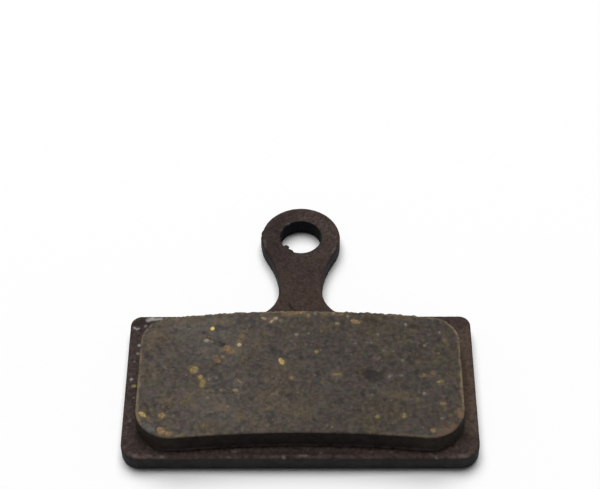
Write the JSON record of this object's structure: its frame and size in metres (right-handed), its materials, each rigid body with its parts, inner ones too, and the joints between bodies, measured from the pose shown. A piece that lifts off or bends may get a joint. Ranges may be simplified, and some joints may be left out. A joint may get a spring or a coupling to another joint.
{
  "type": "bicycle disc brake pad",
  "caption": "Flat disc brake pad: a coated steel backing plate with a stem and a pin eyelet, and a moulded friction block whose face presses on the brake disc.",
  "frame": {"origin": "on the axis of the eyelet's bore, at the plate's back face, which the pad lies on", "axes": "+Z from the back face towards the friction face, +Y from the plate towards the eyelet, +X across the plate's width"},
  "size_m": [0.036, 0.0331, 0.0043],
  "materials": {
    "coated_steel": "matt dark brown-black coating, grainy, worn along the edges",
    "friction_compound": "dry moulded resin compound, mottled grey and brown with brass flakes"
  },
  "bodies": {
    "root": {"backing_plate": "coated_steel", "friction_block": "friction_compound"}
  },
  "joints": []
}
